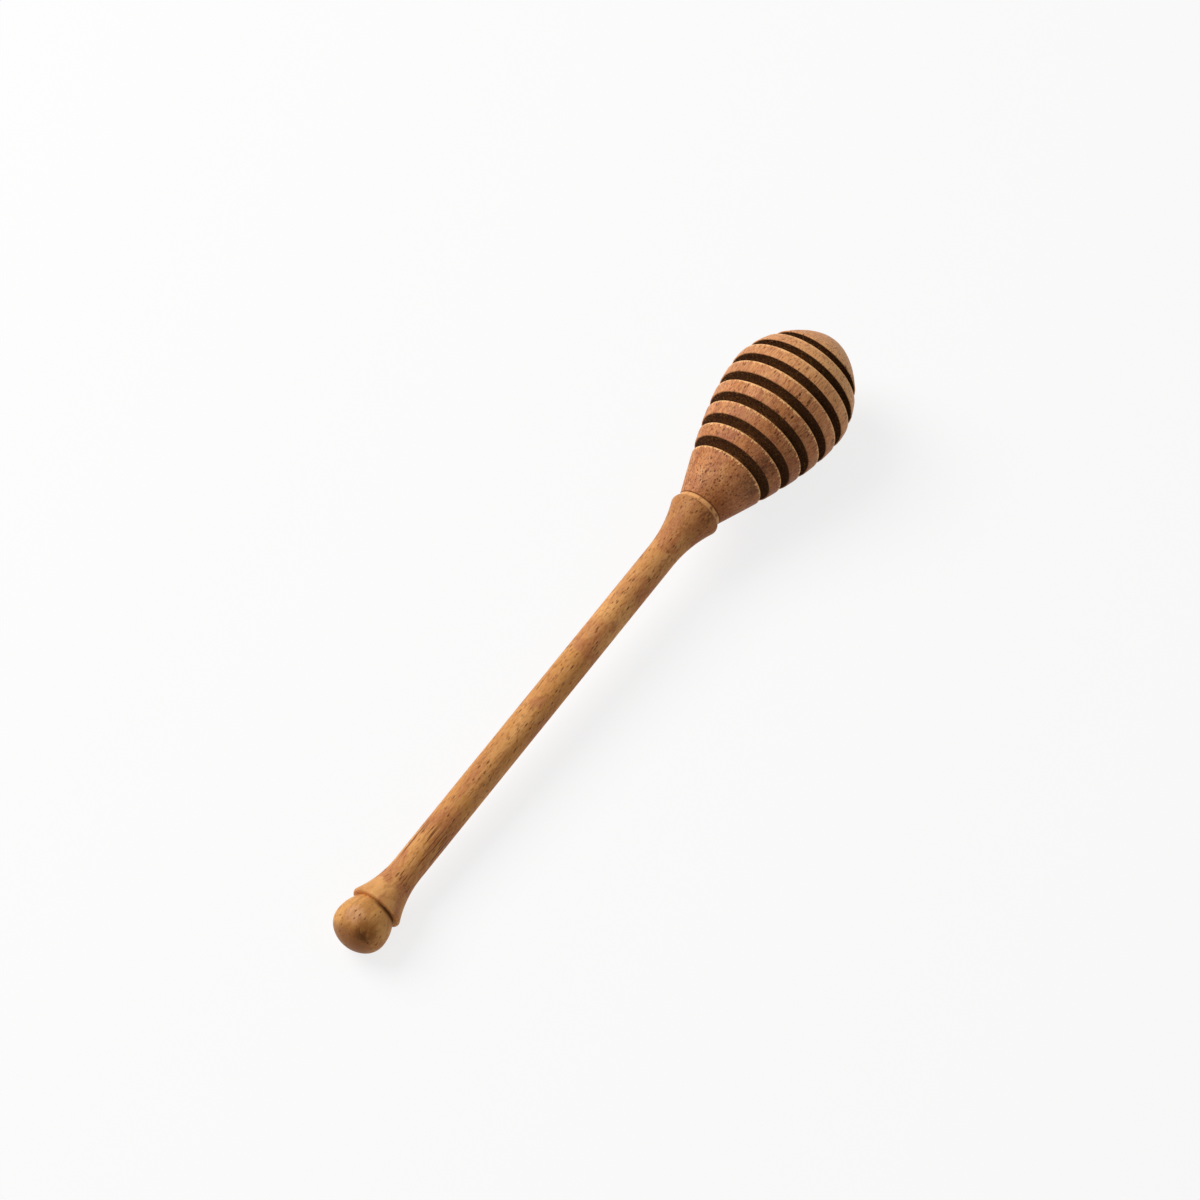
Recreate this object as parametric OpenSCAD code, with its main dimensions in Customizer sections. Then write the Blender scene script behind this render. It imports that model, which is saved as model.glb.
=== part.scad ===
// Honey dipper, turned in wood: a grooved egg-shaped head on a cone, a long stem and a ball end.
// It lies on a table as it would be put down, resting on the ball and on the two widest lands of
// the head. Every piece is turned about one axis, and the lengths along it are measured from its
// lower end.

/* [Ball end] */
// Diameter of the ball
ball_d = 13.3; // [11:0.1:17]
// Length of the ball from its end to the skirt's underside
ball_l = 11; // [9:0.1:13.5]
// Length from the ball's end to its widest ring
ball_end_l = 5.5; // [5.2:0.1:6.5]
// Radius of the ball's lower shoulder
ball_shoulder_r = 4.9; // [4:0.1:5]
// Diameter at which the ball meets the skirt's underside
ball_seat_d = 10; // [8:0.1:10.8]

/* [Handle] */
// Length of the handle, from the skirt's underside to the head
handle_l = 131; // [80:1:220]
// Diameter of the stem
stem_d = 7.5; // [6.6:0.1:10]
// Step in from the ball's widest ring to the skirt's rim
skirt_step = 0.25; // [0:0.05:1]
// Radius of the hollow curve from the stem out to the skirt
skirt_flare_r = 28; // [20:1:50]
// Radius of the skirt's rounded rim
rim_r = 0.6; // [0.4:0.1:1.2]
// Diameter of the collar
collar_d = 12.9; // [12:0.1:17]
// Radius of the hollow curve from the stem out to the collar
collar_flare_r = 37; // [20:1:50]
// Radius of the collar's rounded shoulder
shoulder_r = 1.5; // [0.8:0.1:2]
// Length of the plain band between the collar and the head
band_l = 1; // [0.4:0.1:3]

/* [Head] */
// Length of the head, from the collar's band to its tip
head_l = 58; // [48:0.5:72]
// Diameter of the head where it meets the band
neck_d = 11.6; // [10:0.1:11.8]
// Greatest diameter of the head
head_d = 32.4; // [26:0.1:40]
// Length from the neck to the head's widest ring
widest_l = 38; // [34:0.1:41]
// Angle between the cone's side and the axis
cone_a = 20; // [16:0.5:23]
// Length over which the cone keeps its angle before it rounds
cone_pull = 10; // [3:0.5:18]
// Fullness of the head just below its widest ring
belly_pull = 12.4; // [8:0.1:16]
// Fullness of the head just above its widest ring
nose_pull = 9; // [7:0.5:13]
// Bluntness of the tip
tip_pull = 6.9; // [4:0.1:10]

/* [Grooves] */
// Number of grooves
groove_n = 7; // [3:1:8]
// Width of a groove
groove_w = 2.45; // [1.5:0.05:3.2]
// Distance from one groove to the next
groove_pitch = 5.85; // [4.8:0.05:6]
// Depth of a groove, square to the axis
groove_depth = 4.5; // [2:0.1:5.4]
// Length from the neck to the first groove
groove_start = 11.5; // [10:0.1:13]
// Size of the broken edge along each land
edge_e = 0.25; // [0.1:0.05:0.5]

/* [Dowels] */
// Diameter of the dowel between the head and the handle
head_dowel_d = 5; // [4:0.1:5.2]
// Length of the dowel between the head and the handle
head_dowel_l = 25; // [18:0.5:30]
// Length of that dowel that sits in the handle
head_dowel_in = 10; // [7:0.5:12]
// Diameter of the dowel between the ball and the handle
ball_dowel_d = 4; // [3:0.1:4.8]
// Length of the dowel between the ball and the handle
ball_dowel_l = 18; // [12:0.5:24]
// Length of that dowel that sits in the ball
ball_dowel_in = 6.5; // [5:0.1:7]
// Gap all round a dowel in its hole, where the glue goes
glue_gap = 0.05; // [0.02:0.01:0.1]
// Gap beyond each end of a dowel
end_gap = 0.5; // [0.2:0.1:1]
// Size of the broken edge at each end of a dowel
dowel_e = 0.4; // [0.2:0.1:0.6]
// Size of the broken edges that meet at the neck's joint line
joint_e = 0.12; // [0.05:0.01:0.3]
// Angle of a drill's point, measured across
drill_a = 118; // [90:1:140]

/* [Hidden] */
$fn = 96;
// Places along the axis, from the ball's end
seat_u = ball_l;
neck_u = seat_u + handle_l;
tip_u = neck_u + head_l;
stem_r = stem_d / 2;
collar_r = collar_d / 2;
neck_r = neck_d / 2;
head_r = head_d / 2;
ball_r = ball_d / 2;
ball_seat_r = ball_seat_d / 2;

// Wood tones
head_tone = "#b9774a";
handle_tone = "#a86a3c";
knob_tone = "#a0623a";
dowel_tone = "#d9b98a";

// A point on a cubic curve through four control points
function cubic(a, b, c, d, t) =
    pow(1 - t, 3) * a + 3 * pow(1 - t, 2) * t * b + 3 * (1 - t) * t * t * c + pow(t, 3) * d;

// The head's side as [radius, length from the neck]: the flank up to the widest ring, then the nose
function flank(t) = cubic([neck_r, 0],
    [neck_r + cone_pull * sin(cone_a), cone_pull * cos(cone_a)],
    [head_r, widest_l - belly_pull], [head_r, widest_l], t);
function nose(t) = cubic([head_r, widest_l], [head_r, widest_l + nose_pull],
    [tip_pull, head_l], [0, head_l], t);

// Place on either curve at which a given length is reached, found by halving the interval
halvings = 22;
function flank_t(u, lo = 0, hi = 1, n = halvings) = n == 0 ? (lo + hi) / 2 :
    let (m = (lo + hi) / 2)
    flank(m)[1] < u ? flank_t(u, m, hi, n - 1) : flank_t(u, lo, m, n - 1);
function nose_t(u, lo = 0, hi = 1, n = halvings) = n == 0 ? (lo + hi) / 2 :
    let (m = (lo + hi) / 2)
    nose(m)[1] < u ? nose_t(u, m, hi, n - 1) : nose_t(u, lo, m, n - 1);
function side_r(u) = u < widest_l ? flank(flank_t(u))[0] : nose(nose_t(u))[0];

// Points of the head's outline: the cone, each groove and the land above it, then the nose
cone_steps = 8;
land_steps = 4;
nose_steps = 14;
function groove_u(i) = groove_start + i * groove_pitch;
function run(a, b, steps) = [for (k = [0 : steps]) let (u = a + (b - a) * k / steps) [side_r(u), u]];
function floor_r(i) = side_r(groove_u(i) + groove_w / 2) - groove_depth;
function groove_points(i) = let (lo = groove_u(i), hi = lo + groove_w) [
    [side_r(lo) - edge_e, lo], [floor_r(i), lo], [floor_r(i), hi], [side_r(hi) - edge_e, hi]];
nose_u = groove_u(groove_n - 1) + groove_w + edge_e;
nose_0 = nose_t(nose_u);
head_outline = concat([[0, 0], [neck_r - joint_e, 0]],
    run(joint_e, groove_start - edge_e, cone_steps),
    [for (i = [0 : groove_n - 2]) each concat(groove_points(i),
        run(groove_u(i) + groove_w + edge_e, groove_u(i + 1) - edge_e, land_steps))],
    groove_points(groove_n - 1),
    [for (k = [0 : nose_steps]) nose(nose_0 + (1 - nose_0) * k / nose_steps)]);

// The ball's flattened lower half: a shoulder arc, and a wider arc across the end
shoulder_x = ball_r - ball_shoulder_r;
end_r = (shoulder_x * shoulder_x + ball_end_l * ball_end_l - ball_shoulder_r * ball_shoulder_r)
    / (2 * (ball_end_l - ball_shoulder_r));

// The ball's upper half: one arc from the widest ring in to the skirt's underside
upper_l = ball_l - ball_end_l;
upper_in = ball_r - ball_seat_r;
upper_r = (upper_l * upper_l + upper_in * upper_in) / (2 * upper_in);

// Length from where a hollow flare leaves the stem to the middle of the rounded edge that it
// runs smoothly into
function flare_rise(edge, hollow, round) =
    sqrt(pow(hollow + round, 2) - pow(stem_r + hollow - edge + round, 2));

// Tilt that brings the ball and the head's lowest land down to the table together
function land_tilt(p) = let (du = neck_u + p[1] - ball_end_l, dr = p[0] - shoulder_x)
    atan2(dr, du) - asin(ball_shoulder_r / norm([du, dr]));
tilt = max([for (p = head_outline) land_tilt(p)]);
ball_lift = shoulder_x * cos(tilt) + ball_shoulder_r;
middle = tip_u / 2;

// Stands a piece that is turned about Z on the table, with the middle of its length over the origin
module lay_down() {
    translate([0, 0, ball_lift - ball_end_l * sin(tilt) + middle * sin(tilt)])
        rotate([0, 90 - tilt, 0])
            translate([0, 0, -middle]) children();
}

// A blind hole with the drill's pointed end, from u = 0 upwards
module blind_hole(d, l) {
    r = d / 2;
    rotate_extrude()
        polygon([[0, -1], [r, -1], [r, l], [0, l + r / tan(drill_a / 2)]]);
}

// A dowel with broken edges, from u = 0 upwards
module dowel(d, l) {
    r = d / 2;
    rotate_extrude()
        polygon([[0, 0], [r - dowel_e, 0], [r, dowel_e], [r, l - dowel_e], [r - dowel_e, l], [0, l]]);
}

// Half outline of a flare that widens upwards from the stem at u = 0 and rounds over at its edge
module flare(edge, hollow, round) {
    rise = flare_rise(edge, hollow, round);
    share = hollow / (hollow + round);
    join_x = stem_r + hollow - (stem_r + hollow - edge + round) * share;
    join_u = rise * share;
    difference() {
        square([join_x, join_u]);
        translate([stem_r + hollow, 0]) circle(r = hollow, $fn = 240);
    }
    translate([0, join_u]) square([edge - round, rise + round - join_u]);
    intersection() {
        translate([edge - round, rise]) circle(r = round);
        translate([0, join_u]) square([edge, rise + round - join_u]);
    }
}

module head() {
    color(head_tone) lay_down() difference() {
        translate([0, 0, neck_u]) rotate_extrude() polygon(head_outline);
        translate([0, 0, neck_u])
            blind_hole(head_dowel_d + 2 * glue_gap, head_dowel_l - head_dowel_in + end_gap);
    }
}

module handle() {
    skirt_r = ball_r - skirt_step;
    foot = sqrt(max(0, pow(shoulder_r, 2) - pow(max(0, neck_r - collar_r + shoulder_r), 2)));
    collar_u = neck_u - band_l - foot;
    color(handle_tone) lay_down() difference() {
        rotate_extrude() union() {
            translate([0, seat_u]) square([stem_r, handle_l - band_l]);
            translate([0, seat_u + rim_r + flare_rise(skirt_r, skirt_flare_r, rim_r)]) mirror([0, 1])
                flare(skirt_r, skirt_flare_r, rim_r);
            translate([0, collar_u - flare_rise(collar_r, collar_flare_r, shoulder_r)])
                flare(collar_r, collar_flare_r, shoulder_r);
            polygon([[0, collar_u], [neck_r, collar_u], [neck_r, neck_u - joint_e],
                [neck_r - joint_e, neck_u], [0, neck_u]]);
        }
        translate([0, 0, neck_u]) mirror([0, 0, 1])
            blind_hole(head_dowel_d + 2 * glue_gap, head_dowel_in + end_gap);
        translate([0, 0, seat_u])
            blind_hole(ball_dowel_d + 2 * glue_gap, ball_dowel_l - ball_dowel_in + end_gap);
    }
}

module knob() {
    color(knob_tone) lay_down() difference() {
        rotate_extrude() union() {
            intersection() {
                translate([ball_r - upper_r, ball_end_l]) circle(r = upper_r);
                translate([0, ball_end_l]) square([ball_r, upper_l]);
            }
            intersection() {
                translate([0, end_r]) circle(r = end_r);
                square([shoulder_x * end_r / (end_r - ball_shoulder_r), ball_end_l]);
            }
            intersection() {
                translate([shoulder_x, ball_end_l]) circle(r = ball_shoulder_r);
                square([ball_r, ball_end_l]);
            }
        }
        translate([0, 0, seat_u]) mirror([0, 0, 1])
            blind_hole(ball_dowel_d + 2 * glue_gap, ball_dowel_in + end_gap);
    }
}

module head_dowel() {
    color(dowel_tone) lay_down()
        translate([0, 0, neck_u - head_dowel_in]) dowel(head_dowel_d, head_dowel_l);
}

module knob_dowel() {
    color(dowel_tone) lay_down()
        translate([0, 0, seat_u - ball_dowel_in]) dowel(ball_dowel_d, ball_dowel_l);
}

head();
handle();
knob();
head_dowel();
knob_dowel();
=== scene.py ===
import math

import bpy
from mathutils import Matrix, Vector


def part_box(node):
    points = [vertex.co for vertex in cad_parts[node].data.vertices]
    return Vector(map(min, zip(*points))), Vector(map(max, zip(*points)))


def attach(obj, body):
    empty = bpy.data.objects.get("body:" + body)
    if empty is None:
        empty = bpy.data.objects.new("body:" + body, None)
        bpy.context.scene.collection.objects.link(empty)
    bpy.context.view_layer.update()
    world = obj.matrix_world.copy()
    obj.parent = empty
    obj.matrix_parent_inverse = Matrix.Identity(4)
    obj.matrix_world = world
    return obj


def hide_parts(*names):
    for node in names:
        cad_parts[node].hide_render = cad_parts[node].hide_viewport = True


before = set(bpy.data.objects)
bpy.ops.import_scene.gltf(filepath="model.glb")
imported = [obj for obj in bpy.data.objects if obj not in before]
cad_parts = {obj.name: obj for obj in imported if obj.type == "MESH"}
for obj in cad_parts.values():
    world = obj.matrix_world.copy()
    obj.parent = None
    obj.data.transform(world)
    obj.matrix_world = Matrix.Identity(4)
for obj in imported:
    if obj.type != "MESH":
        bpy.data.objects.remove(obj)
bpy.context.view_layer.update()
mm = 0.001

# The table and the light
# The dipper lies on a pale plain table. One broad soft lamp stands over its left side, and the
# pale room lights its shaded side. A long lens looks down on it from beyond the ball.
table_size = 3.0
table_white = (0.93, 0.93, 0.925, 1)
table_roughness = 0.9
table_gloss = 0.1
washed_out = 0.8
white = (1, 1, 1, 1)
white_strength = 1.0


def seen_as_white(nodes, links):
    """1 for the rays that show the background: straight to the lens, off gloss, or through glass."""
    rays = nodes.new("ShaderNodeLightPath")
    seen = rays.outputs["Is Camera Ray"]
    for kind in ("Is Glossy Ray", "Is Transmission Ray"):
        either = nodes.new("ShaderNodeMath")
        either.operation = "MAXIMUM"
        links.new(seen, either.inputs[0])
        links.new(rays.outputs[kind], either.inputs[1])
        seen = either.outputs["Value"]
    return seen


bpy.ops.object.select_all(action="DESELECT")
bpy.ops.mesh.primitive_plane_add(size=table_size, location=(0, 0, 0))
table = bpy.context.object
table.name = "table"
table_finish = bpy.data.materials.new("table white")
table_finish.use_nodes = True
table_nodes, table_links = table_finish.node_tree.nodes, table_finish.node_tree.links
table_shader = table_nodes["Principled BSDF"]
table_shader.inputs["Base Color"].default_value = table_white
table_shader.inputs["Roughness"].default_value = table_roughness
table_shader.inputs["Specular IOR Level"].default_value = table_gloss
table_glow = table_nodes.new("ShaderNodeEmission")
table_glow.inputs["Color"].default_value = white
table_glow.inputs["Strength"].default_value = white_strength
glow_share = table_nodes.new("ShaderNodeMath")
glow_share.operation = "MULTIPLY"
glow_share.inputs[1].default_value = washed_out
table_mix = table_nodes.new("ShaderNodeMixShader")
table_links.new(seen_as_white(table_nodes, table_links), glow_share.inputs[0])
table_links.new(glow_share.outputs["Value"], table_mix.inputs["Fac"])
table_links.new(table_shader.outputs["BSDF"], table_mix.inputs[1])
table_links.new(table_glow.outputs["Emission"], table_mix.inputs[2])
table_links.new(table_mix.outputs["Shader"], table_nodes["Material Output"].inputs["Surface"])
table.data.materials.append(table_finish)

room_light = 0.24
room = bpy.data.worlds.new("room")
bpy.context.scene.world = room
room.use_nodes = True
room_nodes, room_links = room.node_tree.nodes, room.node_tree.links
walls = room_nodes["Background"]
walls.inputs["Color"].default_value = white
walls.inputs["Strength"].default_value = room_light
backdrop = room_nodes.new("ShaderNodeBackground")
backdrop.inputs["Color"].default_value = white
backdrop.inputs["Strength"].default_value = white_strength
room_mix = room_nodes.new("ShaderNodeMixShader")
room_links.new(seen_as_white(room_nodes, room_links), room_mix.inputs["Fac"])
room_links.new(walls.outputs["Background"], room_mix.inputs[1])
room_links.new(backdrop.outputs["Background"], room_mix.inputs[2])
room_links.new(room_mix.outputs["Shader"], room_nodes["World Output"].inputs["Surface"])

lamp_place = Vector((-0.15, 0.98, 1.08))
lamp_size = 1.0
lamp_watts = 20.0
bpy.ops.object.light_add(type="AREA", location=lamp_place)
lamp = bpy.context.object
lamp.name = "soft lamp"
lamp.data.size = lamp_size
lamp.data.energy = lamp_watts
lamp.rotation_euler = (-lamp_place).to_track_quat("-Z", "Y").to_euler()

view_turn = math.radians(34.92)
view_drop = math.radians(55.16)
view_length = 1067 * mm
view_aim = Vector((8.7, 5.83, 10.05)) * mm
film_width = 36
lens_length = 135
looking = Vector((
    math.cos(view_drop) * math.cos(view_turn),
    math.cos(view_drop) * math.sin(view_turn),
    -math.sin(view_drop)))
bpy.ops.object.camera_add(location=view_aim - looking * view_length)
camera = bpy.context.object
camera.rotation_euler = looking.to_track_quat("-Z", "Y").to_euler()
camera.data.sensor_width = film_width
camera.data.lens = lens_length
bpy.context.scene.camera = camera
bpy.context.scene.view_settings.view_transform = "Standard"

# The dowels
# Two plain beech dowels hold the dipper together, glued in blind holes. They are the packed
# pieces as they are, and their middles give the line that every other piece is turned about.
ball_dowel_middle = 13.5 * mm
ball_pin_low, ball_pin_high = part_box("knob_dowel")
head_pin_low, head_pin_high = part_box("head_dowel")
lower_pin = (ball_pin_low + ball_pin_high) / 2
upper_pin = (head_pin_low + head_pin_high) / 2
along = (upper_pin - lower_pin).normalized()
upright = Vector((0, 1, 0)).cross(along) * -1
lean = math.atan2(along.z, along.x)
ball_end = lower_pin - along * ball_dowel_middle


def tone(code):
    """A linear colour from the six digits that a paint chart gives."""
    parts = [int(code[i:i + 2], 16) / 255 for i in (0, 2, 4)]
    return [c / 12.92 if c <= 0.04045 else ((c + 0.055) / 1.055) ** 2.4 for c in parts] + [1]


class Timber:
    """Oiled wood, built up in coats of tone. Its patterns are measured in mm on the dipper
    itself: x along it from the ball's end, y across it and z up, both from its axis."""

    gloss = 0.12
    fibre_height = 0.3
    relief_strength = 0.4
    spot_edge = 1.1
    spot_heart = 0.3

    def __init__(self, name, ground, log):
        self.material = bpy.data.materials.new(name)
        self.material.use_nodes = True
        self.nodes = self.material.node_tree.nodes
        self.links = self.material.node_tree.links
        self.shader = self.nodes["Principled BSDF"]
        self.colour = tone(ground)
        self.log = log
        on_piece = self.nodes.new("ShaderNodeTexCoord")
        on_axis = self.nodes.new("ShaderNodeMapping")
        on_axis.inputs["Rotation"].default_value = (0, lean, 0)
        on_axis.inputs["Scale"].default_value = (1 / mm, 1 / mm, 1 / mm)
        on_axis.inputs["Location"].default_value = (
            -ball_end.dot(along) / mm, 0, -ball_end.dot(upright) / mm)
        self.links.new(on_piece.outputs["Object"], on_axis.inputs["Vector"])
        self.place = on_axis.outputs["Vector"]
        parts = self.nodes.new("ShaderNodeSeparateXYZ")
        self.links.new(self.place, parts.inputs["Vector"])
        self.length, self.side = parts.outputs["X"], parts.outputs["Y"]

    def put(self, value, socket):
        """Gives a socket a fixed value, or joins another socket to it."""
        if isinstance(value, bpy.types.NodeSocket):
            self.links.new(value, socket)
        else:
            socket.default_value = value

    def calc(self, operation, *values):
        """The outcome of one sum on sockets or fixed values."""
        node = self.nodes.new("ShaderNodeMath")
        node.operation = operation
        for value, socket in zip(values, node.inputs):
            self.put(value, socket)
        return node.outputs["Value"]

    def stretched(self, along_mm, across_mm):
        """Places in this piece's own log, drawn out so that a pattern one unit long covers these
        lengths along the grain and across it."""
        squeeze = self.nodes.new("ShaderNodeMapping")
        squeeze.inputs["Location"].default_value = (self.log, self.log, self.log)
        squeeze.inputs["Scale"].default_value = (1 / along_mm, 1 / across_mm, 1 / across_mm)
        self.links.new(self.place, squeeze.inputs["Vector"])
        return squeeze.outputs["Vector"]

    def figure(self, along_mm, across_mm, detail=3, wander=0.0):
        """Cloudy figure, as long and as wide as this."""
        noise = self.nodes.new("ShaderNodeTexNoise")
        noise.inputs["Scale"].default_value = 1
        noise.inputs["Detail"].default_value = detail
        noise.inputs["Distortion"].default_value = wander
        self.links.new(self.stretched(along_mm, across_mm), noise.inputs["Vector"])
        return noise.outputs["Fac"]

    def rise(self, value, low, high, top=1.0):
        """0 at low and before it, and top at high and beyond, also where low is the greater."""
        span = self.nodes.new("ShaderNodeMapRange")
        span.interpolation_type = "SMOOTHSTEP"
        span.inputs["From Min"].default_value = low
        span.inputs["From Max"].default_value = high
        span.inputs["To Max"].default_value = top
        self.links.new(value, span.inputs["Value"])
        return span.outputs["Result"]

    def both(self, *marks):
        """The marks multiplied together, so that it shows only where they all do."""
        product = marks[0]
        for mark in marks[1:]:
            product = self.calc("MULTIPLY", product, mark)
        return product

    def pores(self, along_mm, across_mm, width, share):
        """Open pores, one to each space this long and this wide. The widest fills this part of
        its space, and only a share of the spaces have one."""
        cells = self.nodes.new("ShaderNodeTexVoronoi")
        cells.inputs["Scale"].default_value = 1
        self.links.new(self.stretched(along_mm, across_mm), cells.inputs["Vector"])
        lot = self.nodes.new("ShaderNodeSeparateColor")
        self.links.new(cells.outputs["Color"], lot.inputs["Color"])
        own_width = self.calc("MULTIPLY_ADD", lot.outputs["Red"], width / 2, width / 2)
        inside = self.calc("SUBTRACT", own_width, cells.outputs["Distance"])
        return self.both(
            self.rise(inside, 0, width / 2), self.calc("LESS_THAN", lot.outputs["Green"], share))

    def ring(self, start, end, soft):
        """A band round the piece between two lengths from the ball's end."""
        return self.both(
            self.rise(self.length, start - soft, start), self.rise(self.length, end + soft, end))

    def spot(self, u, turn, radius, half_long, half_wide, ragged=1.2):
        """A mark at a length u, turned this far from the top towards the lit side."""
        middle = (u, radius * math.sin(math.radians(turn)), radius * math.cos(math.radians(turn)))
        offset = self.nodes.new("ShaderNodeVectorMath")
        offset.operation = "SUBTRACT"
        self.links.new(self.place, offset.inputs[0])
        offset.inputs[1].default_value = middle
        shape = self.nodes.new("ShaderNodeVectorMath")
        shape.operation = "MULTIPLY"
        self.links.new(offset.outputs["Vector"], shape.inputs[0])
        shape.inputs[1].default_value = (1 / half_long, 1 / half_wide, 1 / half_wide)
        reach = self.nodes.new("ShaderNodeVectorMath")
        reach.operation = "LENGTH"
        self.links.new(shape.outputs["Vector"], reach.inputs[0])
        edge = self.calc("MULTIPLY_ADD", self.figure(half_long, half_wide / 2), ragged,
                         reach.outputs["Value"])
        return self.rise(edge, self.spot_edge + ragged / 2, self.spot_heart + ragged / 2)

    def coat(self, code, *marks):
        """Lays a tone over the coats below it, as thickly as the marks together say."""
        mix = self.nodes.new("ShaderNodeMix")
        mix.data_type = "RGBA"
        factor, under, over = mix.inputs[0], mix.inputs[6], mix.inputs[7]
        self.put(self.both(*marks), factor)
        self.put(self.colour, under)
        over.default_value = tone(code)
        self.colour = mix.outputs[2]

    def oil(self, fibre, pores, roughest, smoothest, pore_depth, dull=0.0):
        """Joins the coats to the shader, with a satin finish and a bump that raises the fibre and
        sinks the pores. The satin is lost where the wood is dull."""
        self.put(self.colour, self.shader.inputs["Base Color"])
        satin = self.calc("MULTIPLY_ADD", fibre, roughest - smoothest, smoothest)
        self.put(self.calc("MAXIMUM", satin, dull), self.shader.inputs["Roughness"])
        self.shader.inputs["Specular IOR Level"].default_value = self.gloss
        hollows = self.calc("MULTIPLY", pores, -1.0)
        relief = self.calc("MULTIPLY_ADD", fibre, self.fibre_height, hollows)
        bump = self.nodes.new("ShaderNodeBump")
        bump.inputs["Strength"].default_value = self.relief_strength
        bump.inputs["Distance"].default_value = pore_depth
        self.links.new(relief, bump.inputs["Height"])
        self.links.new(bump.outputs["Normal"], self.shader.inputs["Normal"])


beech = Timber("beech", "dcbd92", log=9)
beech_fibre = beech.figure(4, 0.25)
beech_pores = beech.pores(2.5, 0.7, 0.3, 0.5)
beech.coat("c9a172", beech.rise(beech.figure(12, 1.5), 0.4, 0.7, 0.5))
beech.coat("a67c4e", beech_pores)
beech.oil(beech_fibre, beech_pores, roughest=0.7, smoothest=0.55, pore_depth=0.05 * mm)
for pin in ("head_dowel", "knob_dowel"):
    pin_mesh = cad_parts[pin].data
    pin_mesh.materials.clear()
    pin_mesh.materials.append(beech.material)

# The head
# A cone that swells into an egg with seven grooves for the honey, turned from one block of
# reddish hardwood. The grooves are burnt dark, and it is bored below for the dowel.
neck_u = 142 * mm
head_length = 58 * mm
neck_radius = 5.8 * mm
head_radius = 16.2 * mm
widest = 38 * mm
cone_angle = math.radians(20)
cone_pull = 10 * mm
belly_pull = 12.4 * mm
nose_pull = 9 * mm
tip_pull = 6.9 * mm
groove_count = 7
groove_width = 2.45 * mm
groove_pitch = 5.85 * mm
groove_depth = 4.5 * mm
groove_start = 11.5 * mm
groove_places = [groove_start + i * groove_pitch for i in range(groove_count)]
land_edge = 0.3 * mm
nose_start = groove_places[-1] + groove_width + land_edge
joint_edge = 0.12 * mm
head_hole_radius = 2.55 * mm
head_hole_depth = 15.5 * mm
drill_half_angle = math.radians(59)
cone_steps, land_steps, nose_steps = 24, 8, 26
head_spin_steps = 200
halvings = 40
merge_gap = 0.004 * mm
crease_angle = math.radians(35)


def cubic(points, t):
    """The point at t on the cubic curve with these four control points."""
    a, b, c, d = (Vector(p) for p in points)
    return (1 - t) ** 3 * a + 3 * (1 - t) ** 2 * t * b + 3 * (1 - t) * t * t * c + t ** 3 * d


flank = ((0, neck_radius),
         (cone_pull * math.cos(cone_angle), neck_radius + cone_pull * math.sin(cone_angle)),
         (widest - belly_pull, head_radius), (widest, head_radius))
nose = ((widest, head_radius), (widest + nose_pull, head_radius),
        (head_length, tip_pull), (head_length, 0))


def curve_at(points, u):
    """Where along a side curve the length u is reached, found by halving."""
    low, high = 0.0, 1.0
    for _ in range(halvings):
        middle = (low + high) / 2
        if cubic(points, middle).x < u:
            low = middle
        else:
            high = middle
    return (low + high) / 2


def side_radius(u):
    """The head's radius at a length u from the neck, as if it had no grooves."""
    points = flank if u < widest else nose
    return cubic(points, curve_at(points, u)).y


def side_run(start, end, steps):
    """Points of the head's side between two lengths from the neck."""
    return [(start + (end - start) * k / steps, side_radius(start + (end - start) * k / steps))
            for k in range(steps + 1)]


def arc(centre_u, centre_r, radius, start, end, steps=5):
    """Points of an arc, with its angles measured from straight outwards, towards the tip."""
    return [(centre_u + radius * math.sin(math.radians(start + (end - start) * k / steps)),
             centre_r + radius * math.cos(math.radians(start + (end - start) * k / steps)))
            for k in range(steps + 1)]


def turned(name, outline, steps):
    """A piece turned from its outline, a list of (length from the ball's end, radius) that starts
    and ends on the axis: one point is drawn out along it and then spun right round."""
    bpy.ops.object.select_all(action="DESELECT")
    places = [ball_end + along * u + upright * r for u, r in outline]
    bpy.ops.mesh.primitive_plane_add(size=1 * mm, location=places[0])
    piece = bpy.context.object
    piece.name = name
    bpy.ops.object.mode_set(mode="EDIT")
    bpy.ops.mesh.select_all(action="SELECT")
    bpy.ops.mesh.merge(type="CENTER")
    for here, there in zip(places, places[1:]):
        bpy.ops.mesh.extrude_vertices_move(TRANSFORM_OT_translate={"value": there - here})
    bpy.ops.mesh.select_all(action="SELECT")
    bpy.ops.mesh.spin(steps=steps, angle=math.tau, center=ball_end, axis=along)
    bpy.ops.mesh.select_all(action="SELECT")
    bpy.ops.mesh.remove_doubles(threshold=merge_gap)
    bpy.ops.mesh.normals_make_consistent(inside=False)
    bpy.ops.object.mode_set(mode="OBJECT")
    bpy.ops.object.transform_apply(location=True, rotation=True, scale=True)
    bpy.ops.object.shade_smooth_by_angle(angle=crease_angle)
    return piece


head_outline = [
    (head_hole_depth + head_hole_radius / math.tan(drill_half_angle), 0),
    (head_hole_depth, head_hole_radius),
    (0, head_hole_radius),
    (0, neck_radius - joint_edge)]
head_outline += side_run(joint_edge, groove_start - land_edge, cone_steps)
for low in groove_places:
    high = low + groove_width
    floor = side_radius((low + high) / 2) - groove_depth
    slope = math.degrees(math.atan2(side_radius(high + land_edge) - side_radius(low - land_edge),
                                    high - low + 2 * land_edge))
    head_outline += arc(low - land_edge, side_radius(low - land_edge) - land_edge, land_edge,
                        -slope, 90)[1:]
    head_outline += [(low, floor + land_edge)]
    head_outline += arc(low + land_edge, floor + land_edge, land_edge, -90, -180)[1:]
    head_outline += arc(high - land_edge, floor + land_edge, land_edge, -180, -270)
    head_outline += arc(high + land_edge, side_radius(high + land_edge) - land_edge, land_edge,
                        -90, -slope)
    if low < groove_places[-1]:
        land_end = low + groove_pitch - land_edge
        head_outline += side_run(high + land_edge, land_end, land_steps)[1:]
nose_from = curve_at(nose, nose_start)
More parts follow.
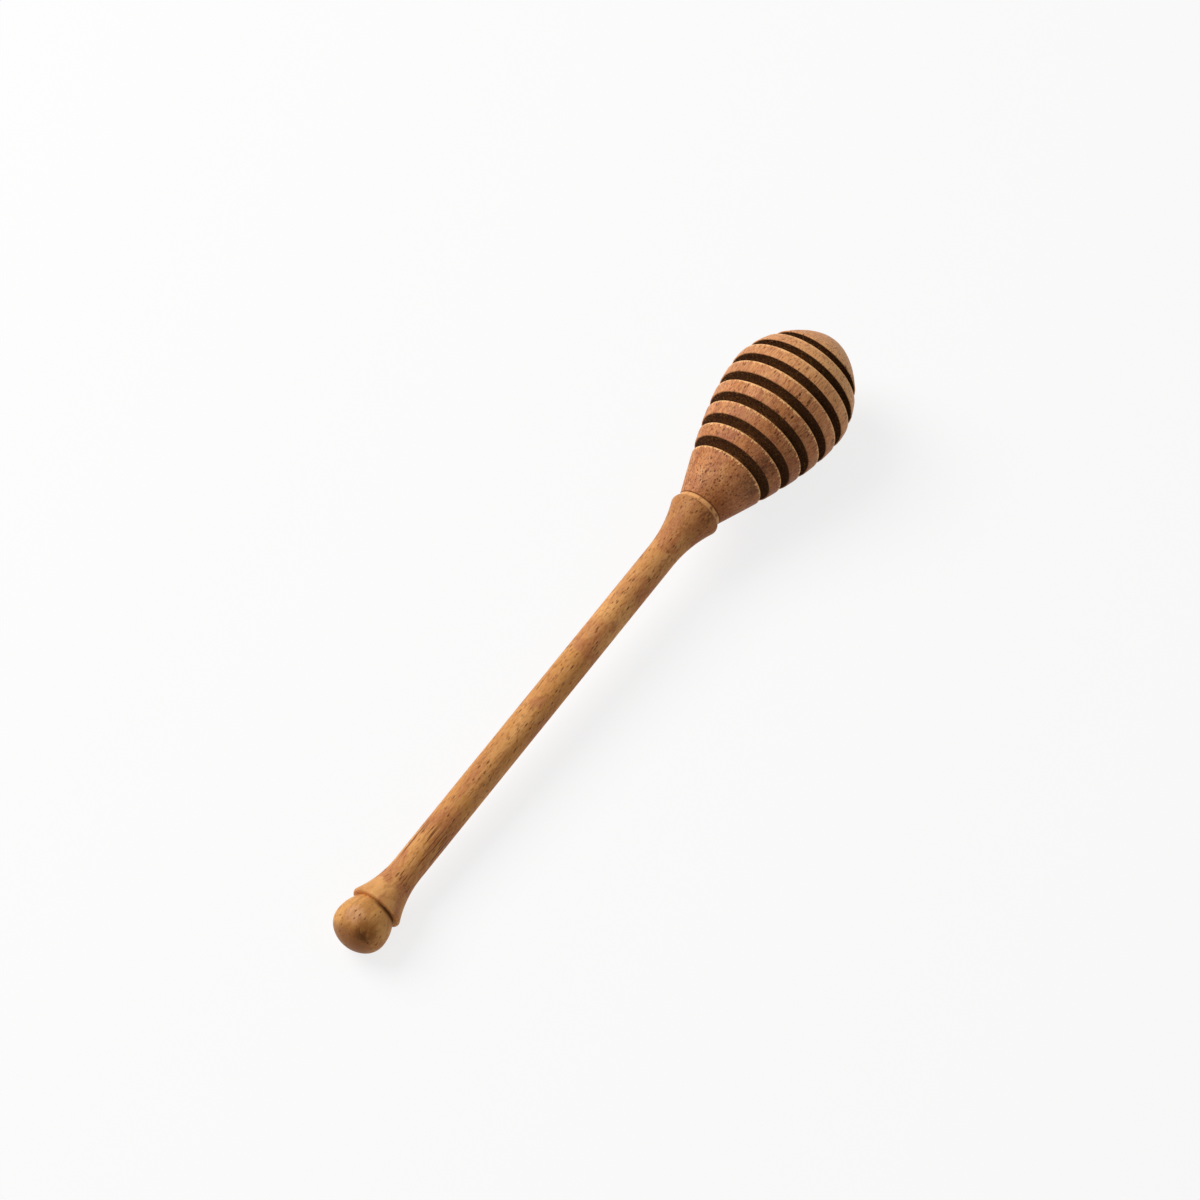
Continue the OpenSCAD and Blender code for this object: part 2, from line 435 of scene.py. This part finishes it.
head_outline += [tuple(cubic(nose, nose_from + (1 - nose_from) * k / nose_steps))
                 for k in range(1, nose_steps + 1)]
head = turned("turned_head", [(neck_u + u, r) for u, r in head_outline], head_spin_steps)

# How deep each point lies in its groove, in mm under the land's own curve
depths = head.data.attributes.new("groove depth", "FLOAT", "POINT")
for vertex, depth in zip(head.data.vertices, depths.data):
    reach = vertex.co - ball_end - along * neck_u
    u = reach.dot(along)
    r = (reach - along * u).length
    if groove_start - land_edge < u < nose_start:
        depth.value = max(side_radius(u) - r, 0) / mm

# Broad figure, reddish clouds and brown bands along the grain. Painted shade darkens the side away
# from the lamp up to the middle lands, and the wood pales towards the tip, most on the side away from
# the lamp. Pale fibre, dark flecks and dark streaks lie over it.
head_wood = Timber("head wood", "de9662", log=3)
head_fibre = head_wood.figure(2.2, 0.14)
head_wood.coat("c98049", head_wood.rise(head_wood.figure(20, 8, wander=0.6), 0.38, 0.62))
head_wood.coat("e2a568", head_wood.rise(head_wood.figure(14, 6, wander=0.8), 0.5, 0.62, 0.6))
head_wood.coat("a45e3c", head_wood.rise(head_wood.figure(8, 4.5, 4, 1.0), 0.46, 0.66, 0.7))
head_wood.coat("98572a", head_wood.rise(head_wood.figure(14, 1.1, 4, 0.4), 0.46, 0.7, 0.5))
# Painted shade: the side away from the lamp is darkened, fading out towards the tip
head_wood.coat("7c3e0c", head_wood.rise(head_wood.side, 1, -12, 0.62),
               head_wood.rise(head_wood.length, 182, 160))
head_wood.coat("eaa66c", head_wood.rise(head_wood.length, 166, 182, 0.5))
head_wood.coat("f8b878", head_wood.rise(head_wood.length, 174, 188, 0.8),
               head_wood.rise(head_wood.side, 8, -8))
head_wood.coat("f4b888", head_wood.rise(head_fibre, 0.42, 0.72, 0.45))
head_wood.coat("824222", head_wood.rise(head_wood.figure(1.1, 0.45, 4), 0.52, 0.66, 0.45))
head_wood.coat("8f5030", head_wood.rise(head_wood.figure(5, 0.35, 2), 0.52, 0.64, 0.5))

# Painted shade darkens the cone's foot on the side away from the lamp, and the first lands are
# reddish on top. Smudges and a row of torn pores mark the shaded side, and fine pores are strewn
# over the cone and the lands.
smudged = head_wood.rise(head_wood.figure(1.6, 0.8, 4), 0.3, 0.6, 0.6)
reddened = (160.0, 8, 12.8)
land_smudge, cone_smudge, torn_row = (157.0, -55, 11.6), (151.3, -62, 9.2), (171.5, -30, 15.3)
# Painted shade on the cone's foot by the collar, on the side away from the lamp
head_wood.coat("8a4a14", head_wood.rise(head_wood.length, 147.5, 143, 0.5),
               head_wood.rise(head_wood.side, 4, -2))
head_wood.coat("a05c40", head_wood.spot(*reddened, half_long=8, half_wide=6), 0.45)
head_wood.coat("432a1c", head_wood.spot(*land_smudge, half_long=2.6, half_wide=3.8), smudged)
head_wood.coat("4e301c", head_wood.spot(*cone_smudge, half_long=3.2, half_wide=4.4), smudged)
head_wood.coat("4c260f", head_wood.spot(*torn_row, half_long=9, half_wide=3.8),
               head_wood.pores(1.7, 0.9, 0.62, 0.9))
fine_pores = head_wood.pores(1.1, 0.5, 0.44, 0.9)
head_wood.coat("512611", fine_pores, head_wood.rise(head_wood.figure(7, 4), 0.36, 0.5),
               head_wood.rise(head_wood.length, 178, 154))
head_wood.coat("643419", head_wood.pores(2.0, 0.7, 0.42, 0.8),
               head_wood.rise(head_wood.figure(10, 5), 0.38, 0.52, 0.9))

# The cone's rim, and the edge of each land towards the tip, are torn and pale, and carry a painted
# highlight where the rounded edge would catch the light
first_groove = (neck_u + groove_start) / mm
last_groove = (neck_u + groove_places[-1]) / mm
pitch = groove_pitch / mm
tear_and_highlight_sway = -2.6
tear_and_highlight_outer, tear_and_highlight_inner = 1.85, 1.65
rim_lead = 1
past_edge = head_wood.calc(
    "FLOORED_MODULO", head_wood.calc("SUBTRACT", head_wood.length, first_groove), pitch)
torn_and_highlit_edge = head_wood.calc("MULTIPLY_ADD", head_wood.figure(6, 0.4), tear_and_highlight_sway, past_edge)
head_wood.coat("ffc484", head_wood.rise(torn_and_highlit_edge, pitch - tear_and_highlight_outer, pitch - tear_and_highlight_inner, 0.9),
               head_wood.ring(first_groove - rim_lead, last_groove, 0.5))

# A fine dark line where the head meets the handle
neck_line = neck_u / mm
line_width = 0.25
line_core = 0.05
head_wood.coat("6a3c1c", head_wood.rise(
    head_wood.length, neck_line + line_width, neck_line + line_core, 0.8))

# Soot in the grooves. Down the walls and on the floors it is painted lighter, painted light against
# the shade the walls cast, and painted shade darkens it on the side away from the lamp
depth_mark = head_wood.nodes.new("ShaderNodeAttribute")
depth_mark.attribute_name = "groove depth"
groove_depth_mark = depth_mark.outputs["Fac"]
soot = head_wood.rise(groove_depth_mark, 0.1, 0.4)
head_wood.coat("5a351c", soot)
# Painted light: the deeper part of each groove is lighter, against the shade of its walls
head_wood.coat("7e4f2c", soot, head_wood.rise(groove_depth_mark, 0.8, 3.6))
head_wood.coat("2e180a", soot, head_wood.rise(head_wood.figure(0.7, 0.5, 4), 0.5, 0.6, 0.75))
head_wood.coat("a4743a", soot, head_wood.rise(head_wood.figure(0.5, 0.5, 2), 0.58, 0.66, 0.8))
# Painted shade: the soot is darker on the side away from the lamp
head_wood.coat("2a1608", soot, head_wood.rise(head_wood.side, -1, -10, 0.45))
head_wood.oil(head_fibre, fine_pores, roughest=0.6, smoothest=0.44, pore_depth=0.1 * mm, dull=soot)
head.data.materials.append(head_wood.material)
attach(head, "root")
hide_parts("head")

# The handle
# A slim stem that spreads into a collar under the head and into a skirt over the ball, all one
# turning, bored at both ends for the dowels. A narrow plain band above the collar meets the head.
seat_u = 11 * mm
stem_radius = 3.75 * mm
skirt_radius = 6.4 * mm
skirt_hollow = 28 * mm
rim_radius = 0.6 * mm
collar_radius = 6.45 * mm
collar_hollow = 37 * mm
shoulder_radius = 1.5 * mm
band_length = 1 * mm
handle_head_hole = 10.5 * mm
ball_hole_radius = 2.05 * mm
handle_ball_hole = 12 * mm
flare_steps, flare_edge_steps = 26, 12
handle_spin_steps = 144


def flare_rise(edge, hollow, rounding):
    """Length from where a flare leaves the stem to the middle of its rounded edge."""
    return math.sqrt((hollow + rounding) ** 2 - (stem_radius + hollow - edge + rounding) ** 2)


def flare(middle_u, way, edge, hollow, rounding, past):
    """A hollow arc out of the stem that runs smoothly into the rounded edge, up to an angle past
    its widest place. The way is 1 towards the tip and -1 towards the ball."""
    rise = flare_rise(edge, hollow, rounding)
    swing = math.degrees(math.asin(rise / (hollow + rounding)))
    out = [(rise - hollow * math.sin(math.radians(swing * k / flare_steps)),
            stem_radius + hollow * (1 - math.cos(math.radians(swing * k / flare_steps))))
           for k in range(flare_steps + 1)]
    edge_arc = arc(0, edge - rounding, rounding, -swing, past, flare_edge_steps)
    return ([(middle_u - way * back, r) for back, r in out]
            + [(middle_u + way * on, r) for on, r in edge_arc[1:]])


band_turn = math.degrees(math.acos((neck_radius - collar_radius + shoulder_radius) / shoulder_radius))
collar_u = neck_u - band_length - shoulder_radius * math.sin(math.radians(band_turn))
handle_outline = [
    (seat_u + handle_ball_hole + ball_hole_radius / math.tan(drill_half_angle), 0),
    (seat_u + handle_ball_hole, ball_hole_radius),
    (seat_u, ball_hole_radius)]
handle_outline += flare(seat_u + rim_radius, -1, skirt_radius, skirt_hollow, rim_radius, 90)[::-1]
handle_outline += flare(collar_u, 1, collar_radius, collar_hollow, shoulder_radius, band_turn)
handle_outline += [
    (neck_u - joint_edge, neck_radius),
    (neck_u, neck_radius - joint_edge),
    (neck_u, head_hole_radius),
    (neck_u - handle_head_hole, head_hole_radius),
    (neck_u - handle_head_hole - head_hole_radius / math.tan(drill_half_angle), 0)]
handle = turned("turned_handle", handle_outline, handle_spin_steps)

# Broad figure, reddish clouds and bands along the grain. The wood browns towards the collar, and
# painted shade darkens its side away from the lamp there. Flecks run from above the skirt, and dark
# streaks lie just over it.
handle_wood = Timber("handle wood", "eaa964", log=0)
handle_fibre = handle_wood.figure(2.5, 0.13)
handle_wood.coat("d3904c", handle_wood.rise(handle_wood.figure(26, 7, wander=0.6), 0.38, 0.62))
handle_wood.coat("b96e42", handle_wood.rise(handle_wood.figure(11, 5, 4, 1.0), 0.46, 0.64, 0.8))
handle_wood.coat("ac6a32", handle_wood.rise(handle_wood.figure(16, 0.9, 4, 0.4), 0.46, 0.7, 0.5))
handle_wood.coat("b4703a", handle_wood.ring(112, 122, 5), 0.35)
handle_wood.coat("9e5a2c", handle_wood.rise(handle_wood.length, 126, 137, 0.6))
handle_wood.coat("f8ca94", handle_wood.rise(handle_fibre, 0.4, 0.75, 0.35))
# Painted shade: the side away from the lamp is darkened towards the collar
handle_wood.coat("84440e", handle_wood.rise(handle_wood.side, 1, -6, 0.35),
                 handle_wood.rise(handle_wood.length, 112, 132))
handle_wood.coat("945229", handle_wood.rise(handle_wood.figure(1.3, 0.45, 4), 0.5, 0.66, 0.5),
                 handle_wood.rise(handle_wood.length, 16, 26))
handle_wood.coat("74401e", handle_wood.ring(20, 32, 5),
                 handle_wood.rise(handle_wood.figure(15, 0.42, 1), 0.55, 0.61, 0.85))

# Pores along the stem, more of them in the collar, and a torn patch on its shaded side
handle_pores = handle_wood.pores(2.3, 0.62, 0.4, 0.9)
handle_wood.coat("6a3616", handle_pores, handle_wood.rise(handle_wood.figure(8, 3), 0.38, 0.52, 0.9),
                 handle_wood.rise(handle_wood.length, 24, 34))
handle_wood.coat("6c3a1a", handle_wood.pores(1.6, 0.6, 0.5, 0.9),
                 handle_wood.rise(handle_wood.length, 130, 137),
                 handle_wood.rise(handle_wood.figure(6, 3), 0.42, 0.54, 0.8))
torn_patch = (138.6, -47, 6.0)
handle_wood.coat("6e3d1e", handle_wood.spot(*torn_patch, half_long=2.3, half_wide=2.6),
                 handle_wood.rise(handle_wood.figure(1.2, 0.6, 4), 0.35, 0.6, 0.8))

# The band is pale, and ends in the dark line where the head sits on it
pale_low, pale_high = 1.5, 0.4
handle_wood.coat("f0b070", handle_wood.ring(neck_line - pale_low, neck_line - pale_high, 0.3),
                 handle_wood.rise(handle_wood.figure(3, 1.2), 0.3, 0.5, 0.85))
handle_wood.coat("6a3c1c", handle_wood.rise(
    handle_wood.length, neck_line - line_width, neck_line, 0.8))
handle_wood.oil(handle_fibre, handle_pores, roughest=0.58, smoothest=0.44, pore_depth=0.12 * mm)
handle.data.materials.append(handle_wood.material)
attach(handle, "root")
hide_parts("handle")

# The ball
# A turned ball, flattened at its end and drawn in at its top, glued up against the underside of
# the skirt on the smaller dowel. A dark knot shows near its end.
ball_radius = 6.65 * mm
ball_widest = 5.5 * mm
ball_shoulder = 4.9 * mm
ball_seat_radius = 5 * mm
ball_hole_depth = 7 * mm
end_steps, shoulder_steps, upper_steps = 12, 24, 20
ball_spin_steps = 144
shoulder_centre = ball_radius - ball_shoulder
end_radius = ((shoulder_centre ** 2 + ball_widest ** 2 - ball_shoulder ** 2)
              / (2 * (ball_widest - ball_shoulder)))
end_angle = math.degrees(math.atan2(shoulder_centre, end_radius - ball_widest))
upper_length = seat_u - ball_widest
drawn_in = ball_radius - ball_seat_radius
upper_radius = (upper_length ** 2 + drawn_in ** 2) / (2 * drawn_in)
seat_angle = math.degrees(math.asin(upper_length / upper_radius))
ball_outline = arc(end_radius, 0, end_radius, -90, -90 + end_angle, end_steps)
ball_outline += arc(ball_widest, shoulder_centre, ball_shoulder,
                    -90 + end_angle, 0, shoulder_steps)[1:]
ball_outline += arc(ball_widest, ball_radius - upper_radius, upper_radius,
                    0, seat_angle, upper_steps)[1:]
ball_outline += [
    (seat_u, ball_hole_radius),
    (seat_u - ball_hole_depth, ball_hole_radius),
    (seat_u - ball_hole_depth - ball_hole_radius / math.tan(drill_half_angle), 0)]
ball = turned("turned_ball", ball_outline, ball_spin_steps)

# Its end is darker, and painted shade darkens it further on the side away from the lamp. A pale
# patch of painted sheen lies on top, and painted shade darkens the ball's top under the skirt, most
# on the side away from the lamp. The knot is a dark whorl with a darker eye.
ball_wood = Timber("ball wood", "dfa05a", log=6)
ball_fibre = ball_wood.figure(3.0, 0.25)
# Painted shade: the end is darkened on the side away from the lamp
ball_wood.coat("b07038", ball_wood.rise(ball_wood.side, 4, -3, 0.75),
               ball_wood.rise(ball_wood.length, 6.5, 3.0))
# Painted sheen: a pale patch on the top, leaning towards the lamp
painted_sheen_patch = (5.2, 4, 6.4)
ball_wood.coat("d69c74", ball_wood.spot(*painted_sheen_patch, half_long=2.8, half_wide=3.4), 0.6)
ball_wood.coat("96561f", ball_wood.rise(ball_wood.figure(9, 3.4, 3, 1.4), 0.44, 0.66, 0.42))
ball_wood.coat("ecb880", ball_wood.rise(ball_fibre, 0.4, 0.75, 0.3))
ball_wood.coat("8a5028", ball_wood.rise(ball_wood.figure(1.3, 0.7, 4), 0.52, 0.68, 0.35))
ball_wood.coat("84502c", ball_wood.rise(ball_wood.length, 3.4, 0.6, 0.7))
whorl = ball_wood.rise(ball_wood.figure(3, 2, 3, 1.5), 0.2, 0.5, 0.8)
knot, knot_eye = (2.2, -38, 5.8), (2.0, -36, 5.8)
ball_wood.coat("8a5420", ball_wood.spot(*knot, half_long=3.8, half_wide=4.8, ragged=1.0), whorl)
ball_wood.coat("5a3310", ball_wood.spot(*knot_eye, half_long=1.7, half_wide=2.6, ragged=1.8), whorl)
ball_pores = ball_wood.pores(2.0, 0.7, 0.42, 0.5)
ball_wood.coat("5c3216", ball_pores, ball_wood.rise(ball_wood.figure(4, 3), 0.46, 0.54, 0.9))
# Painted shade under the skirt's rim, on the ball's top, most on the side away from the lamp
ball_wood.coat("4a2a12", ball_wood.rise(ball_wood.length, 9.4, 10.6),
               ball_wood.rise(ball_wood.side, 3, -4, 0.9))
ball_wood.oil(ball_fibre, ball_pores, roughest=0.56, smoothest=0.42, pore_depth=0.1 * mm)
ball.data.materials.append(ball_wood.material)
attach(ball, "root")
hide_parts("knob")
